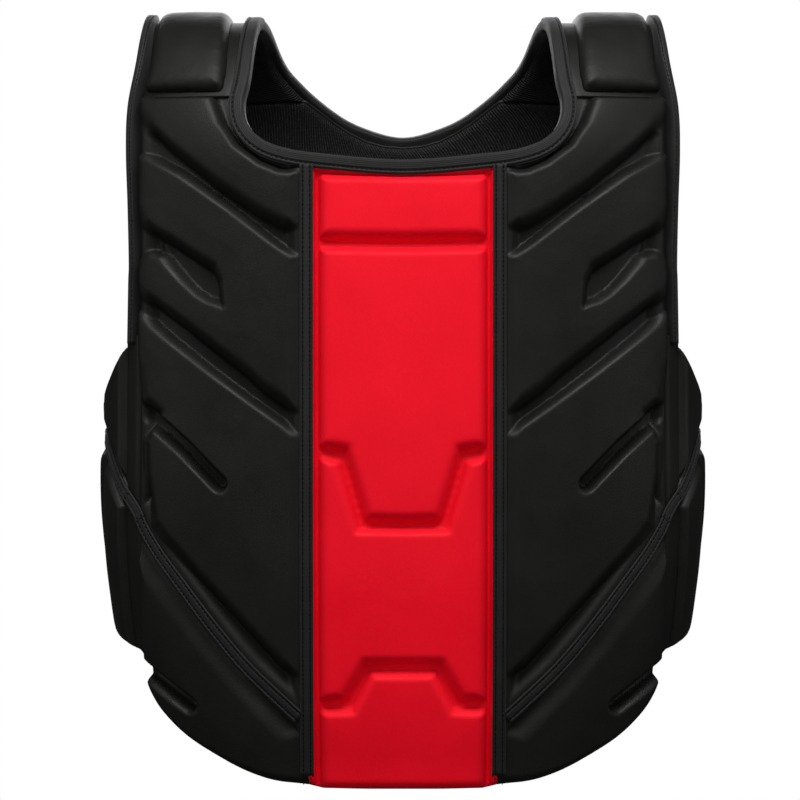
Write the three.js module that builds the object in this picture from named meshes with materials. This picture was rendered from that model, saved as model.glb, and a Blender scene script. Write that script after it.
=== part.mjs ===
// Chest protector (body shield) for boxing and martial arts training.
// A padded front wraps the chest, two side wings fold at the ribs, two straps close on the back
// panel, and a yoke with shoulder pads carries the weight. Millimetres, +Z up, the front faces -Y,
// and "left" and "right" are the wearer's own: the wearer's left is +X. The origin is at the centre
// of the wearer's torso, level with the lowest point of the front hem.
import * as THREE from 'three';

// ---- Driving dimensions -------------------------------------------------------------------
const FULLNESS = 2.6;              // exponent of the body's rounded-box cross-section
const HALF_WIDTHS = [[0, 203], [60, 217], [110, 230], [180, 240], [230, 243], [290, 240], [480, 242]];
const HALF_DEPTHS = [[0, 112], [60, 124], [150, 134], [260, 138], [480, 138]];
const CHEST_TOP = 480;             // height where the front starts to curve back to the shoulder
const SHOULDER_RISE = 130;         // from there up to the top of the shoulder
const SHOULDER_ARC = 200;          // length along the surface given to that curve
const SHOULDER_LINE = CHEST_TOP + SHOULDER_ARC;

// Depths below the outer surface, as [inner, outer]; above it they are positive.
const COVER = [-1.5, 0];
const FOAM = [-16, -3.4];
const LINING = [-20, -17.8];
const TAPE = [0.8, 2.3];
const BINDING = [-20.5, 1];
const STRAP_BASE = [-20, -9];
const SHOULDER_PAD = [-8, 0];
const ANCHOR = [2.2, 5.8];
const LOOP_FIELD = [0.6, 1.6];
const HOOK_PAD = [2.2, 3.4];
const ELASTIC = [4, 5.8];
const PULL_TAB = [6.4, 7.9];
const EDGE_DROP = 4;               // rounding of a foam block's outer edges
const TAPE_WIDTH = 10;

const SEAM = 74;                   // the centre panel's side seam, from the middle
const SEAM_GAP = 0.6;              // half the gap between two covers at a seam
const FRONT_EDGE = 209;            // side edge of the front, beside the fold to a wing
const WING_EDGE = 217;             // front edge of a wing
const WING_REAR = 138;             // degrees round the body, 0 at the front and 180 at the back
const WAIST_LOW = 205;             // closing strap's edges
const WAIST_HIGH = 268;
const STRAP_ROOT = 167;            // closing strap's two ends, from the middle of the back
const STRAP_END = 14;
const YOKE_BOTTOM = 472;             // the yoke's straight lower edge
const BACK_TOP = 466;                // the back panel hangs below the yoke from here

const BLACK = { color: 0x1e1e1b, roughness: 0.5, metalness: 0 };
const RED = { color: 0xd8182a, roughness: 0.55, metalness: 0 };
const FOAM_FINISH = { color: 0x3a3a3c, roughness: 0.95, metalness: 0 };
const MESH_FINISH = { color: 0x26262a, roughness: 0.95, metalness: 0 };
const WEBBING_FINISH = { color: 0x161617, roughness: 0.85, metalness: 0 };

// ---- The body surface ---------------------------------------------------------------------
function between(knots, height) {
  const last = knots[knots.length - 1];
  if (height >= last[0]) return last[1];
  const i = Math.max(1, knots.findIndex(([h]) => h > height));
  const [h0, v0] = knots[i - 1];
  const [h1, v1] = knots[i];
  return v0 + (v1 - v0) * (height - h0) / (h1 - h0);
}

// Height, half width and half depth at a distance v up the surface from the hem's level.
function section(v) {
  const turn = Math.max(0, (v - CHEST_TOP) / SHOULDER_ARC) * Math.PI / 2;
  const height = turn > 0 ? CHEST_TOP + SHOULDER_RISE * Math.sin(turn) : v;
  return { height, a: between(HALF_WIDTHS, height), b: between(HALF_DEPTHS, height) * Math.cos(turn) };
}

const signedPower = (value, power) => Math.sign(value) * Math.abs(value) ** power;

// The outer surface at an angle round the body (radians) and a distance v up it.
function skinPoint(angle, v) {
  const { height, a, b } = section(v);
  const x = a * signedPower(Math.sin(angle), 2 / FULLNESS);
  const y = -b * signedPower(Math.cos(angle), 2 / FULLNESS);
  return new THREE.Vector3(x, y, height);
}

// Coordinates on the body: [x, q] where q runs up the front, over the shoulder and down the back.
function onSheet([x, q]) {
  const behind = q > SHOULDER_LINE;
  const v = behind ? 2 * SHOULDER_LINE - q : q;
  const { a, b } = section(v);
  const share = Math.min(Math.abs(x) / a, 0.9999) ** FULLNESS;
  const y = b * (1 - share) ** (1 / FULLNESS);
  return new THREE.Vector3(x, behind ? y : -y, section(v).height);
}

const onWing = ([degrees, height]) => skinPoint(THREE.MathUtils.degToRad(degrees), height);

// q for a height on the front, and for a height on the back.
function front(height) {
  if (height <= CHEST_TOP) return height;
  return CHEST_TOP + SHOULDER_ARC * Math.asin((height - CHEST_TOP) / SHOULDER_RISE) / (Math.PI / 2);
}
const back = (height) => 2 * SHOULDER_LINE - front(height);
const frontEdge = (points) => points.map(([x, height]) => [x, front(height)]);
const backEdge = (points) => points.map(([x, height]) => [x, back(height)]);

// ---- Bent slabs ---------------------------------------------------------------------------
function along(points, share) {
  const place = Math.min(share, 0.999999) * (points.length - 1);
  const i = Math.floor(place);
  return [0, 1].map((k) => THREE.MathUtils.lerp(points[i][k], points[i + 1][k], place - i));
}

// Outward normal of the patch from its own neighbours, pointing away from the body's axis.
function normalAt(at, u, v) {
  const step = 0.004;
  const across = at(Math.min(u + step, 1), v).sub(at(Math.max(u - step, 0), v));
  const up = at(u, Math.min(v + step, 1)).sub(at(u, Math.max(v - step, 0)));
  const normal = across.cross(up).normalize();
  const here = at(u, v);
  const away = new THREE.Vector3(here.x, here.y, Math.max(0, here.z - CHEST_TOP));
  return normal.dot(away) < 0 ? normal.negate() : normal;
}

function signedVolume(geometry) {
  const p = geometry.attributes.position;
  const index = geometry.index;
  const [a, b, c] = [0, 1, 2].map(() => new THREE.Vector3());
  let volume = 0;
  for (let i = 0; i < index.count; i += 3) {
    a.fromBufferAttribute(p, index.getX(i));
    b.fromBufferAttribute(p, index.getX(i + 1));
    c.fromBufferAttribute(p, index.getX(i + 2));
    volume += a.dot(b.cross(c)) / 6;
  }
  return volume;
}

function flipFaces(geometry) {
  const index = geometry.index;
  for (let i = 0; i < index.count; i += 3) {
    const second = index.getX(i + 1);
    index.setX(i + 1, index.getX(i + 2));
    index.setX(i + 2, second);
  }
  return geometry;
}

// A slab between two edge lines on the body, from depth inner to depth outer (0 is the outer
// surface and minus is inwards). drop lowers the outer face along its rim, as on a moulded block.
function slab(lower, upper, inner, outer, { columns, rows = 1, place = onSheet, drop = 0 }) {
  const geometry = new THREE.BoxGeometry(1, 1, 1, columns, rows, 1);
  const at = (u, v) => {
    const [p, q] = [along(lower, u), along(upper, u)];
    return place([THREE.MathUtils.lerp(p[0], q[0], v), THREE.MathUtils.lerp(p[1], q[1], v)]);
  };
  const position = geometry.attributes.position;
  for (let i = 0; i < position.count; i += 1) {
    const u = position.getX(i) + 0.5;
    const v = position.getY(i) + 0.5;
    const onOuter = position.getZ(i) > 0;
    const rim = Math.min(u, v, 1 - u, 1 - v) < 1e-6;
    const depth = onOuter ? outer - (rim ? drop : 0) : inner;
    const point = at(u, v).addScaledVector(normalAt(at, u, v), depth);
    position.setXYZ(i, point.x, point.y, point.z);
  }
  if (signedVolume(geometry) < 0) flipFaces(geometry);
  geometry.computeVertexNormals();
  return geometry;
}

function mirrored(geometry) {
  const copy = flipFaces(geometry.clone().scale(-1, 1, 1));
  copy.computeVertexNormals();
  return copy;
}

// ---- The assembly -------------------------------------------------------------------------
const protector = new THREE.Group();

function add(name, geometry, finish) {
  const mesh = new THREE.Mesh(geometry, new THREE.MeshStandardMaterial(finish));
  mesh.name = name;
  protector.add(mesh);
}

function addPair(name, geometry, finish) {
  add(`${name}_left`, geometry, finish);
  add(`${name}_right`, mirrored(geometry), finish);
}

const shifted = (points, dx, dz) => points.map(([x, z]) => [x + dx, z + dz]);

// A whole edge line from its wearer's-left half, which starts on the middle.
const symmetric = (half) => [...half.slice(1).map(([x, z]) => [-x, z]).reverse(), ...half];

// ---- Centre panel -------------------------------------------------------------------------
const CENTRE_EDGE = SEAM - SEAM_GAP;
add('centre_cover', slab(
  symmetric([[0, 0], [60, 0], [CENTRE_EDGE, 4]]),
  symmetric([[0, 472], [60, 473], [CENTRE_EDGE, 475]]),
  ...COVER,
  { columns: 8, rows: 14 },
), RED);

// The four raised blocks, top to bottom; each tab or notch follows the one above it.
const CENTRE_BLOCKS = [
  { top: [[0, 471], [65, 471]], bottom: [[0, 420], [65, 420]] },
  { top: [[0, 412], [44, 412], [65, 412]], bottom: [[0, 206], [28, 206], [44, 258], [65, 260]] },
  { top: [[0, 199], [32, 199], [48, 250], [65, 252]], bottom: [[0, 93], [27, 93], [43, 65], [65, 64]] },
  { top: [[0, 86], [24, 86], [38, 59], [65, 58]], bottom: [[0, 5], [30, 5], [60, 5], [63, 9]] },
];
CENTRE_BLOCKS.forEach(({ top, bottom }, i) => {
  const knots = Math.max(top.length, bottom.length);
  const fill = (line) => Array.from({ length: knots }, (_, k) => along(line, k / (knots - 1)));
  const block = slab(symmetric(fill(bottom)), symmetric(fill(top)), ...FOAM,
    { columns: 2 * (knots - 1), rows: 4, drop: EDGE_DROP });
  add(`centre_pad_${i + 1}`, block, FOAM_FINISH);
});

// ---- Chest and rib panels, above the diagonal seam ------------------------------------------
const DIAGONAL = [[SEAM, 49], [119, 90], [146, 121], [171, 153], [191, 179], [203, 198], [FRONT_EDGE, 211]];
addPair('chest_cover', slab(
  shifted(DIAGONAL, 0, SEAM_GAP).map(([x, z]) => [Math.max(x, SEAM + SEAM_GAP), z]),
  frontEdge([[SEAM + SEAM_GAP, 475], [97, 479], [118, 491], [132, 508], [136, 530], [207, 530]]),
  ...COVER,
  { columns: 10, rows: 14 },
), BLACK);

const FRONT_BLOCKS = {
  chest_pad: {
    top: [[80, 472], [109, 480], [137, 503], [145, 526], [204, 528]],
    bottom: [[80, 428], [98, 430], [146, 462], [184, 493], [206, 520]],
  },
  rib_pad: {
    top: [[80, 407], [115, 433], [171, 473], [198, 489], [205, 484]],
    bottom: [[82, 288], [120, 313], [171, 352], [198, 370], [205, 376]],
  },
  flank_pad: {
    top: [[82, 275], [114, 298], [146, 321], [184, 350], [204, 366]],
    bottom: [[86, 84], [122, 118], [152, 154], [183, 192], [203, 220]],
  },
  belly_pad: {
    top: [[88, 45], [112, 70], [141, 99], [170, 138], [201, 180]],
    bottom: [[82, 8], [101, 12], [121, 19], [160, 37], [198, 90]],
  },
};
Object.entries(FRONT_BLOCKS).forEach(([name, { top, bottom }]) => {
  addPair(name, slab(bottom, frontEdge(top), ...FOAM, { columns: 8, rows: 5, drop: EDGE_DROP }), FOAM_FINISH);
});

// ---- Belly panels, below the diagonal seam ---------------------------------------------------
addPair('belly_cover', slab(
  [[SEAM + SEAM_GAP, 3], [101, 7], [121, 14], [158, 31], [184, 52], [203, 90]],
  shifted(DIAGONAL, 0, -SEAM_GAP).map(([x, z]) => [Math.max(x, SEAM + SEAM_GAP), z]),
  ...COVER,
  { columns: 15, rows: 6 },
), BLACK);

add('front_lining', slab(
  symmetric([[0, 3], [79, 6], [121, 16], [158, 33], [184, 54], [202, 92]]),
  symmetric(frontEdge([[0, 468], [75, 471], [116, 487], [131, 504], [136, 528], [206, 528]])),
  ...LINING,
  { columns: 20, rows: 10 },
), MESH_FINISH);

// ---- Tapes over the seams ---------------------------------------------------------------------
const TAPE_SIDE = TAPE_WIDTH / 2;
addPair('centre_tape', slab(
  [[SEAM - TAPE_SIDE, 4], [SEAM - TAPE_SIDE, 473]],
  [[SEAM + TAPE_SIDE, 5], [SEAM + TAPE_SIDE, 474]],
  ...TAPE,
  { columns: 16 },
), BLACK);

const DIAGONAL_TAPE = [[84, 56], ...DIAGONAL.slice(1, 6), [FRONT_EDGE - 3, 205]];
const TAPE_OFFSET = [-0.75 * TAPE_SIDE, 0.66 * TAPE_SIDE];
addPair('diagonal_tape', slab(
  shifted(DIAGONAL_TAPE, -TAPE_OFFSET[0], -TAPE_OFFSET[1]),
  shifted(DIAGONAL_TAPE, ...TAPE_OFFSET),
  ...TAPE,
  { columns: 15 },
), BLACK);

// ---- Neck, armholes and shoulders -------------------------------------------------------------
const NECK_FRONT_INNER = [[0, 481], [60, 486], [92, 491], [110, 499], [121, 512], [124, 530], [119, 560]];
const NECK_FRONT_OUTER = [[0, 474], [62, 478], [97, 482], [118, 494], [131, 510], [134, 530], [131, 560]];
add('neck_binding_front', slab(
  symmetric([...frontEdge(NECK_FRONT_OUTER), [127, SHOULDER_LINE - 1]]),
  symmetric([...frontEdge(NECK_FRONT_INNER), [112, SHOULDER_LINE - 1]]),
  ...BINDING,
  { columns: 42 },
), BLACK);

const NECK_BACK_INNER = [[0, 523], [30, 530], [56, 543], [84, 566], [101, 588]];
const NECK_BACK_OUTER = [[0, 515], [36, 522], [67, 535], [94, 560], [113, 586]];
add('neck_binding_back', slab(
  symmetric([...backEdge(NECK_BACK_OUTER), [127, SHOULDER_LINE + 1]]),
  symmetric([...backEdge(NECK_BACK_INNER), [112, SHOULDER_LINE + 1]]),
  ...BINDING,
  { columns: 30 },
), BLACK);

const ARMHOLE_FRONT = [
  [215.5, 348], [215, 390], [215, 415], [215.5, 449], [216, 493], [215, 528], [208, 571],
];
const ARMHOLE_BACK = [[207, 571], [212, 530], [210, 510]];
const ARMHOLE = [...frontEdge(ARMHOLE_FRONT), [203, SHOULDER_LINE], ...backEdge(ARMHOLE_BACK)];
addPair('armhole_binding', slab(
  shifted(ARMHOLE, -6, 0),
  ARMHOLE,
  ...BINDING,
  { columns: 30 },
), BLACK);

// An edge line that runs over the shoulder: heights on the front, x at the top, heights on the back.
const overShoulder = (before, x, after) => [...frontEdge(before), [x, SHOULDER_LINE], ...backEdge(after)];
addPair('shoulder_strap', slab(
  overShoulder([[136, 532], [133, 571]], 128.5, [[115, 586], [97, 561], [86, 550]]),
  overShoulder([[207, 532], [199, 571]], 196, [[198, 586], [200, 561], [203, 550]]),
  ...STRAP_BASE,
  { columns: 20, rows: 3 },
), BLACK);
addPair('shoulder_pad', slab(
  overShoulder([[142, 538], [138, 571]], 136, [[137, 571]]),
  overShoulder([[205, 538], [197, 571]], 193, [[195, 571]]),
  ...SHOULDER_PAD,
  { columns: 15, rows: 4, drop: EDGE_DROP },
), BLACK);

// ---- Yoke across the upper back ---------------------------------------------------------------
const YOKE_LOWER = symmetric(backEdge([...[0, 48, 92, 132].map((x) => [x, YOKE_BOTTOM]), [196, 500]]));
const YOKE_UPPER = symmetric(backEdge([[0, 514], [37, 521], [68, 534], [85, 547], [203, 547]]));
const YOKE_GRID = { columns: 16, rows: 3 };
add('yoke_cover', slab(YOKE_LOWER, YOKE_UPPER, ...COVER, YOKE_GRID), BLACK);
add('yoke_pad', slab(YOKE_LOWER, YOKE_UPPER, ...FOAM, YOKE_GRID), FOAM_FINISH);
add('yoke_lining', slab(YOKE_LOWER, YOKE_UPPER, ...LINING, YOKE_GRID), MESH_FINISH);

// ---- Back panel, hinged below the yoke ----------------------------------------------------------
const BACK_EDGE = backEdge([
  [60, 150], [78, 175], [80, 250], [88, 350], [100, 400], [118, 440], [125, BACK_TOP],
]);
const inset = (line, by) => line.map(([x, q]) => [x - by, q]);
const opposite = (line) => line.map(([x, q]) => [-x, q]);
function backLayer(depths, by, options) {
  const edge = inset(BACK_EDGE, by);
  return slab(opposite(edge), edge, ...depths, { columns: 8, rows: 6, ...options });
}
add('back_cover', backLayer(COVER, 0), BLACK);
add('back_pad', backLayer(FOAM, 3, { drop: EDGE_DROP }), FOAM_FINISH);
add('back_lining', backLayer(LINING, 0), MESH_FINISH);
add('loop_field', slab(
  backEdge([[-66, WAIST_LOW - 3], [66, WAIST_LOW - 3]]),
  backEdge([[-66, WAIST_HIGH + 3], [66, WAIST_HIGH + 3]]),
  ...LOOP_FIELD,
  { columns: 10 },
), WEBBING_FINISH);

// ---- Wings ----------------------------------------------------------------------------------
// Angle round the body, in degrees, where the surface at a height reaches a given x.
function angleAt(x, height) {
  const sine = (x / section(height).a) ** (FULLNESS / 2);
  return THREE.MathUtils.radToDeg(Math.asin(sine));
}
const wingEdge = (height, inward = 0) => [angleAt(WING_EDGE - inward, height), height];
const WING_TOP = [wingEdge(344), [67, 332], [74, 318], [84, 306], [105, 300], [WING_REAR, 294]];
const WING_BOTTOM = [wingEdge(96, 5), [70, 100], [82, 106], [95, 122], [115, 140], [WING_REAR, 158]];
const WING_SEAM = [wingEdge(222), [67, 241], [74, 258], [84, 269], [105, 276], [WING_REAR, 276]];
const WING_GRID = { columns: 12, rows: 5, place: onWing };
addPair('wing_cover', slab(WING_BOTTOM, WING_TOP, ...COVER, WING_GRID), BLACK);
addPair('wing_lining', slab(WING_BOTTOM, WING_TOP, ...LINING, WING_GRID), MESH_FINISH);

const WING_PADS = {
  wing_pad_upper: [shifted(WING_SEAM, 0, 7), shifted(WING_TOP, 0, -4)],
  wing_pad_lower: [shifted(WING_BOTTOM, 0, 5), shifted(WING_SEAM, 0, -8)],
};
Object.entries(WING_PADS).forEach(([name, [lower, upper]]) => {
  const block = slab(lower, upper, ...FOAM, { columns: 12, rows: 3, place: onWing, drop: EDGE_DROP });
  addPair(name, block, FOAM_FINISH);
});

const WING_TAPE = [...WING_SEAM.slice(0, 5).map(([t, z]) => [t + 0.8, z]), [112, 276]];
addPair('wing_tape', slab(
  shifted(WING_TAPE, 0, -TAPE_SIDE),
  shifted(WING_TAPE, 0, TAPE_SIDE),
  ...TAPE,
  { columns: 12, place: onWing },
), BLACK);
addPair('wing_rear_binding', slab(
  [[WING_REAR + 0.5, 158], [WING_REAR + 0.5, 294]],
  [[WING_REAR + 2.6, 158], [WING_REAR + 2.6, 294]],
  ...BINDING,
  { columns: 6, place: onWing },
), BLACK);
addPair('strap_anchor', slab(
  [[113, WAIST_LOW], [WING_REAR + 2.6, WAIST_LOW]],
  [[113, WAIST_HIGH], [WING_REAR + 2.6, WAIST_HIGH]],
  ...ANCHOR,
  { columns: 8, place: onWing },
), BLACK);

// ---- Closing straps, from the wings to the middle of the back -----------------------------------
function waistBand(from, to, low, high) {
  return [backEdge([[from, low], [to, low]]), backEdge([[from, high], [to, high]])];
}
addPair('elastic_strap', slab(
  ...waistBand(STRAP_ROOT, STRAP_END, WAIST_LOW, WAIST_HIGH),
  ...ELASTIC,
  { columns: 12 },
), WEBBING_FINISH);
addPair('hook_pad', slab(
  ...waistBand(62, STRAP_END + 2, WAIST_LOW + 2, WAIST_HIGH - 2),
  ...HOOK_PAD,
  { columns: 5 },
), WEBBING_FINISH);
addPair('pull_tab', slab(
  ...waistBand(40, STRAP_END, WAIST_LOW + 8, WAIST_HIGH - 8),
  ...PULL_TAB,
  { columns: 3 },
), BLACK);

export default protector;
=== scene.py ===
import math

import bmesh
import bpy
import numpy as np
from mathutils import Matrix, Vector


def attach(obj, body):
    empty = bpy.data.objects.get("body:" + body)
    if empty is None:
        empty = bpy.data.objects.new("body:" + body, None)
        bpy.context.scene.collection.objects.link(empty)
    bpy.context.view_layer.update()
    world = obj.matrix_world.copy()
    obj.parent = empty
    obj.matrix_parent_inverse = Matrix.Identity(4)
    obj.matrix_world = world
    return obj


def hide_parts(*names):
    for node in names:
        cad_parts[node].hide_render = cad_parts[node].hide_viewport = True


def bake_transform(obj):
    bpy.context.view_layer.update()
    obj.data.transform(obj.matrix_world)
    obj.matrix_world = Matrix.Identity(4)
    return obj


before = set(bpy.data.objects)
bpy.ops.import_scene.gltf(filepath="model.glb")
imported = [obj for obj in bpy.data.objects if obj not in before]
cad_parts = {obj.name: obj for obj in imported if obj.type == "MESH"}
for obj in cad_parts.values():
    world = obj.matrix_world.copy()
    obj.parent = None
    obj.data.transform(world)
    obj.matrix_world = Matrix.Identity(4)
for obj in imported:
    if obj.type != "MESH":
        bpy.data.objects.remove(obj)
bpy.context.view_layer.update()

# ---- Driving dimensions, in millimetres; MM turns them into metres ----
MM = 0.001
FULLNESS = 2.6                # exponent of the body's rounded section; 2 would be an ellipse
EASING = 24                   # how far each side of a knot its corner is smoothed
HALF_WIDTHS = [(0, 203), (60, 217), (110, 230), (180, 240), (230, 243), (290, 240), (480, 242)]
HALF_DEPTHS = [(0, 112), (60, 124), (150, 134), (260, 138), (480, 138)]
CHEST_TOP = 480               # height where the body begins to turn over the shoulders
SHOULDER_RISE = 130
SHOULDER_ARC = 200            # length of that turn, up to the shoulders' ridge
SHOULDER_LINE = CHEST_TOP + SHOULDER_ARC

SEAM = 74                     # x of the seam beside the red panel
FRONT_EDGE = 209              # x of the front's side edge
WING_EDGE = 217               # x of the wing's front edge
WING_REAR = 138               # angle round the body of the wing's rear edge
WAIST_LOW, WAIST_HIGH = 205, 268  # the closing straps' edges
STRAP_ROOT, STRAP_END = 167, 14  # x of a closing strap's ends
BACK_TOP = 466                # height of the back panel's top edge

GROOVE = -11.5                # depth of the pressed grooves between blocks
SEAM_LEVEL = -3.6             # depth of the skin beside a taped seam
INNER = -17.4                 # the padding's inner side
MIDDLE = -9.5                 # depth where the two faces of a padded piece meet at its edge
HEM_ROUND = 9.0               # how far in from its edge the front starts to round over
TAPE_HALF = 5.2               # half of a seam tape's width
STEP = 1.7  # spacing of a padded skin's grid


# ---- The body surface ----
def eased(knots, height):
    """A value between knots of (height, value), its corners smoothed."""
    heights, values = np.array(knots, float).T
    window = np.linspace(-EASING, EASING, 9)
    return np.mean([np.interp(height + w, heights, values) for w in window], axis=0)


def section(v):
    """The height, half width and half depth of the body at v, which runs up and over a shoulder."""
    turn = np.clip((v - CHEST_TOP) / SHOULDER_ARC, 0, 1) * math.pi / 2
    height = np.where(v > CHEST_TOP, CHEST_TOP + SHOULDER_RISE * np.sin(turn), v)
    return height, eased(HALF_WIDTHS, height), eased(HALF_DEPTHS, height) * np.cos(turn)


def sheet(x, q):
    """A point on the body from x and q, which runs up the front and down the back."""
    behind = q > SHOULDER_LINE
    height, a, b = section(np.where(behind, 2 * SHOULDER_LINE - q, q))
    share = np.minimum(np.abs(x) / a, 0.9995) ** FULLNESS
    y = b * (1 - share) ** (1 / FULLNESS)
    return np.stack([x, np.where(behind, y, -y), height], -1)


def wrap(degrees, z):
    """A point on the body from the angle round it, 0 at the front and 180 at the back."""
    height, a, b = section(z)
    angle = np.radians(degrees)
    sine, cosine = np.sin(angle), np.cos(angle)
    x = a * np.sign(sine) * np.abs(sine) ** (2 / FULLNESS)
    y = -b * np.sign(cosine) * np.abs(cosine) ** (2 / FULLNESS)
    return np.stack([x, y, height + 0 * x], -1)


def front_q(z):
    """The q of a height on the front."""
    z = np.asarray(z, float)
    rise = np.clip((z - CHEST_TOP) / SHOULDER_RISE, 0, 1)
    return np.where(z <= CHEST_TOP, z, CHEST_TOP + SHOULDER_ARC * np.arcsin(rise) / (math.pi / 2))


def back_q(z):
    """The q of a height on the back."""
    return 2 * SHOULDER_LINE - front_q(z)


def front(points):
    """A line on the front from its x and heights."""
    return [(x, float(front_q(z))) for x, z in points]


def back(points):
    """A line on the back from its x and heights."""
    return [(x, float(back_q(z))) for x, z in points]


def unit(vectors):
    return vectors / np.maximum(np.linalg.norm(vectors, axis=-1, keepdims=True), 1e-9)


def on(place, s, q, depth):
    """Points at a depth from the outer surface; minus is inwards."""
    s, q = np.asarray(s, float), np.asarray(q, float)
    step = 0.4
    across = place(s + step, q) - place(s - step, q)
    up = place(s, q + step) - place(s, q - step)
    normal = unit(np.cross(across, up))
    base = place(s, q)
    away = base * (1, 1, 0)
    away[..., 2] = np.maximum(0, base[..., 2] - CHEST_TOP)
    normal *= np.where((normal * away).sum(-1) < 0, -1, 1)[..., None]
    return base + normal * np.asarray(depth, float)[..., None]


# ---- Outlines ----
def spline(points, share, smooth=True):
    """Points at shares 0 to 1 along a line of knots, rounded through them if smooth."""
    p = np.array(points, float)
    place = np.clip(share, 0, 1) * (len(p) - 1)
    i = np.minimum(place.astype(int), len(p) - 2)
    t = (place - i)[:, None]
    if not smooth:
        return p[i] * (1 - t) + p[i + 1] * t
    before, after = p[np.maximum(i - 1, 0)], p[np.minimum(i + 2, len(p) - 1)]
    a, b = p[i], p[i + 1]
    return 0.5 * (2 * a + (b - before) * t + (2 * before - 5 * a + 4 * b - after) * t**2
                  + (3 * a - before - 3 * b + after) * t**3)


def even(points, count, place):
    """count points spaced evenly on the body along a smooth line, and the line's length there."""
    fine = spline(points, np.linspace(0, 1, 400))
    where = place(*fine.T)
    run = np.concatenate([[0], np.cumsum(np.linalg.norm(np.diff(where, axis=0), axis=1))])
    goal = np.linspace(0, run[-1], count)
    return np.stack([np.interp(goal, run, fine[:, k]) for k in (0, 1)], -1), run[-1]


def length_of(points, place):
    return even(points, 2, place)[1]


def symmetric(half):
    """A whole line from its half at positive x, which starts in the middle."""
    return [(-x, z) for x, z in half[:0:-1]] + list(half)


def shifted(points, dx, dz):
    return [(x + dx, z + dz) for x, z in points]


def inset(polygon, by):
    """A polygon moved inwards by a distance, its corners mitred."""
    p = np.array(polygon, float)
    area = np.sum(p[:, 0] * np.roll(p[:, 1], -1) - np.roll(p[:, 0], -1) * p[:, 1])
    ahead = unit(np.roll(p, -1, 0) - p)
    inward = np.stack([-ahead[:, 1], ahead[:, 0]], -1) * (1 if area > 0 else -1)
    before = np.roll(inward, 1, 0)
    mitre = inward + before
    scale = 1 + (inward * before).sum(1)
    return p + by * mitre / np.maximum(scale, 0.35)[:, None]


def line_distance(line, x, z):
    """Distance to the nearest stretch of a line of points."""
    best = np.full(np.shape(x), 1e9)
    for (x0, z0), (x1, z1) in zip(line, line[1:]):
        dx, dz = x1 - x0, z1 - z0
        t = np.clip(((x - x0) * dx + (z - z0) * dz) / (dx * dx + dz * dz + 1e-12), 0, 1)
        best = np.minimum(best, np.hypot(x - x0 - t * dx, z - z0 - t * dz))
    return best


def inside_distance(polygon, x, z):
    """Distance to a polygon's outline, plus inside it and minus outside."""
    loop = np.array([*polygon, polygon[0]], float)
    inside = np.zeros(np.shape(x), bool)
    for (x0, z0), (x1, z1) in zip(loop, loop[1:]):
        if z1 != z0:
            inside ^= ((z0 > z) != (z1 > z)) & (x < x0 + (z - z0) * (x1 - x0) / (z1 - z0))
    return line_distance(loop, x, z) * np.where(inside, 1, -1)


def rounded_distance(outline, radius, x, z):
    """inside_distance of an outline whose outward corners are rounded by radius."""
    return inside_distance(inset(outline, radius), x, z) + radius


CROWN_REACH = 45              # how far inside its outline a block's crown builds up


def pillow(distance, shoulder, crown):
    """How far a block rises at a distance inside its outline, from 0 to 1, and how far it is crowned."""
    share = np.clip(distance / shoulder, 0, 1)
    rise = (1 - (1 - share) ** 2.1) ** 0.85
    swell = crown * (1 - np.exp(-np.maximum(distance, 0) / CROWN_REACH))
    return rise, swell


def block_relief(blocks, x, z, shoulder, crown, floor=GROOVE, top_shoulder=None):
    """Depth of a pressed cover: the floor of the grooves, and the blocks that stand above it.
    shoulder is how wide a block's rounded edge is, and top_shoulder is that of its upper edges."""
    depth = np.zeros(np.shape(x)) + floor
    for outline, radius in blocks:
        distance = rounded_distance(outline, radius, x, z)
        width = shoulder
        if top_shoulder:
            slope = np.gradient(distance, axis=1) / np.gradient(z, axis=1)
            upper = np.clip(0.5 - 0.6 * slope, 0, 1)
            width = shoulder + (top_shoulder - shoulder) * upper
        rise, swell = pillow(distance, width, crown)
        depth = np.maximum(depth, floor + rise * (swell - floor))
    return depth


def smooth_step(share):
    share = np.clip(share, 0, 1)
    return share * share * (3 - 2 * share)


def groove(line, half_width, x, z):
    """1 along a line, falling smoothly to 0 at half_width from it."""
    return smooth_step(1 - line_distance(line, x, z) / half_width)


SLOT_FLAT, SLOT_WALL = 2.6, 5.0  # half of a slot's flat floor, and the width of a wall


def trench(line, x, z):
    """1 in a flat-bottomed slot along a line, falling to 0 up its walls."""
    return smooth_step(1 - (line_distance(line, x, z) - SLOT_FLAT) / SLOT_WALL)


def seam_floor(distance, flat=6.0, slope=12.0):
    """The grooves' floor, which rises to SEAM_LEVEL at a taped seam."""
    return SEAM_LEVEL + (GROOVE - SEAM_LEVEL) * smooth_step((distance - flat) / slope)


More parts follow.
